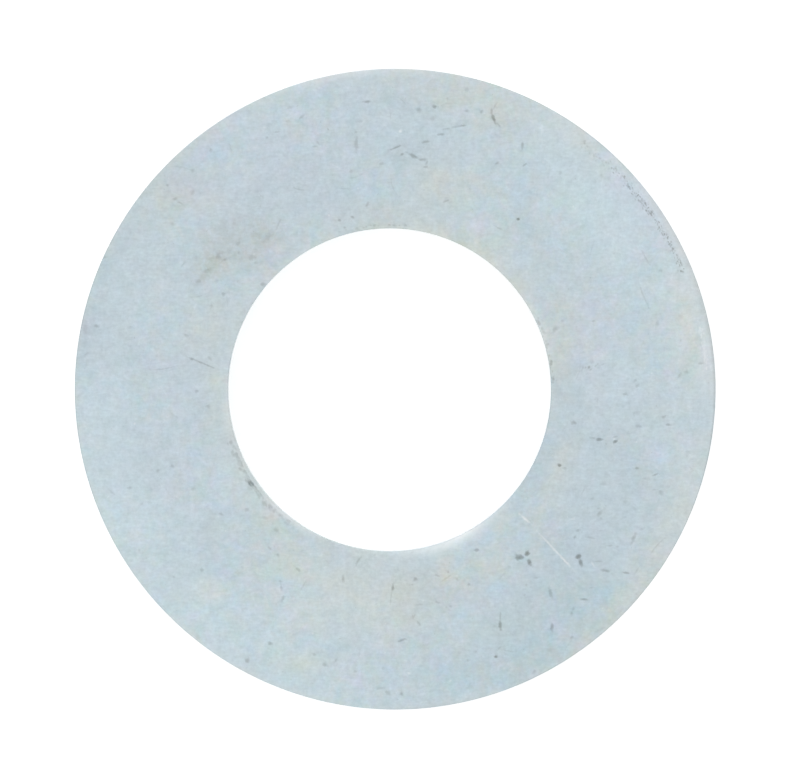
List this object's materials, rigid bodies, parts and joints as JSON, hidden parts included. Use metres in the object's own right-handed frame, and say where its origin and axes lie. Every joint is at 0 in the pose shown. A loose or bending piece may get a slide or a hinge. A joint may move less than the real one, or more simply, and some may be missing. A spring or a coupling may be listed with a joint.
{
  "type": "flat washer",
  "caption": "Round flat steel washer with a central clearance hole, rolled upper edges and a zinc-plated finish, spreads the load under a bolt head or nut.",
  "frame": {"origin": "centre of the round blank's underside, on the plane of the lower bearing face", "axes": "+Z out of the upper (rolled) face along the washer's axis; the hole's centre lies slightly towards -X of the blank's centre"},
  "size_m": [0.027, 0.027, 0.0024],
  "materials": {
    "zinc_plated_steel": "zinc plate with clear blue passivate, satin, faintly clouded"
  },
  "bodies": {
    "root": {"flat_washer": "zinc_plated_steel"}
  },
  "joints": []
}
